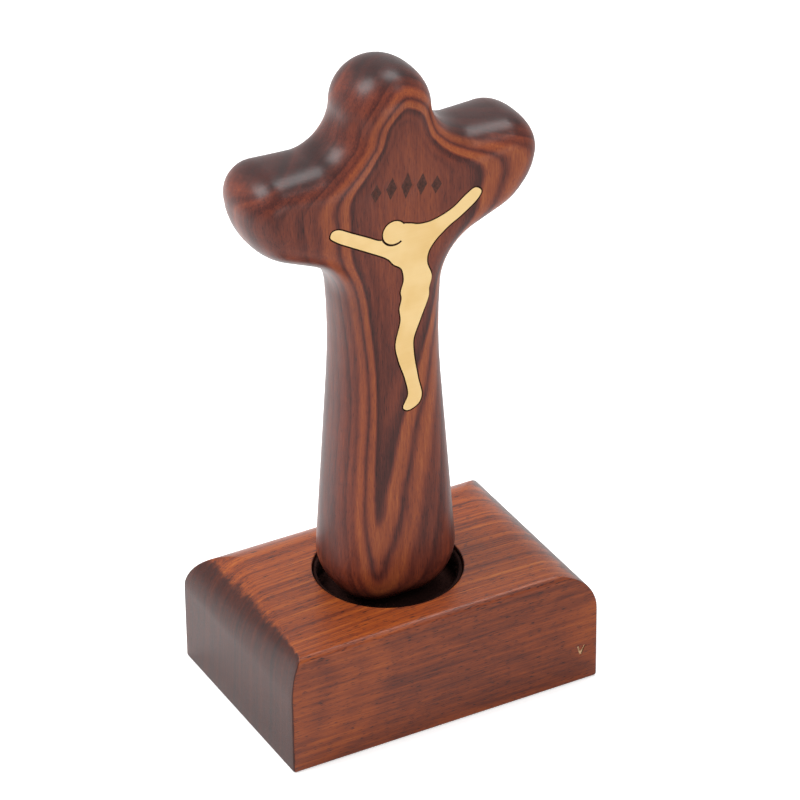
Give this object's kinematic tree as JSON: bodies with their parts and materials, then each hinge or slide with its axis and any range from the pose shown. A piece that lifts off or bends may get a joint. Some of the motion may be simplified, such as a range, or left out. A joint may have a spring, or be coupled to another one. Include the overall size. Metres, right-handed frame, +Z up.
{
  "type": "standing wooden cross",
  "caption": "Rounded wooden holding cross with a flush flat brass figure, standing loose in a felt-lined round recess in a rectangular wooden block.",
  "frame": {"origin": "centre of the block's underside, on the surface the block stands on", "axes": "+Z up along the shaft of the cross, +X to the right along the block's long side, the side with the figure faces -Y"},
  "size_m": [0.0716, 0.0492, 0.144],
  "materials": {
    "base_wood": "satin lacquer over dark reddish hardwood, grain along the block",
    "cross_wood": "satin-gloss lacquer over striped dark hardwood, grain along the shaft",
    "inlay_brass": "flat fine-sanded pale brass",
    "lining_felt": "matt black-brown felt"
  },
  "bodies": {
    "base": {"base_block": "base_wood", "socket_lining_wall": "lining_felt", "socket_lining_floor": "lining_felt"},
    "cross": {"cross_body": "cross_wood", "figure_inlay": "inlay_brass"}
  },
  "joints": [
    {"name": "cross_lift", "type": "slide", "parent": "base", "child": "cross", "axis": [0, 0, 1], "range_m": [0, 0.06]}
  ]
}
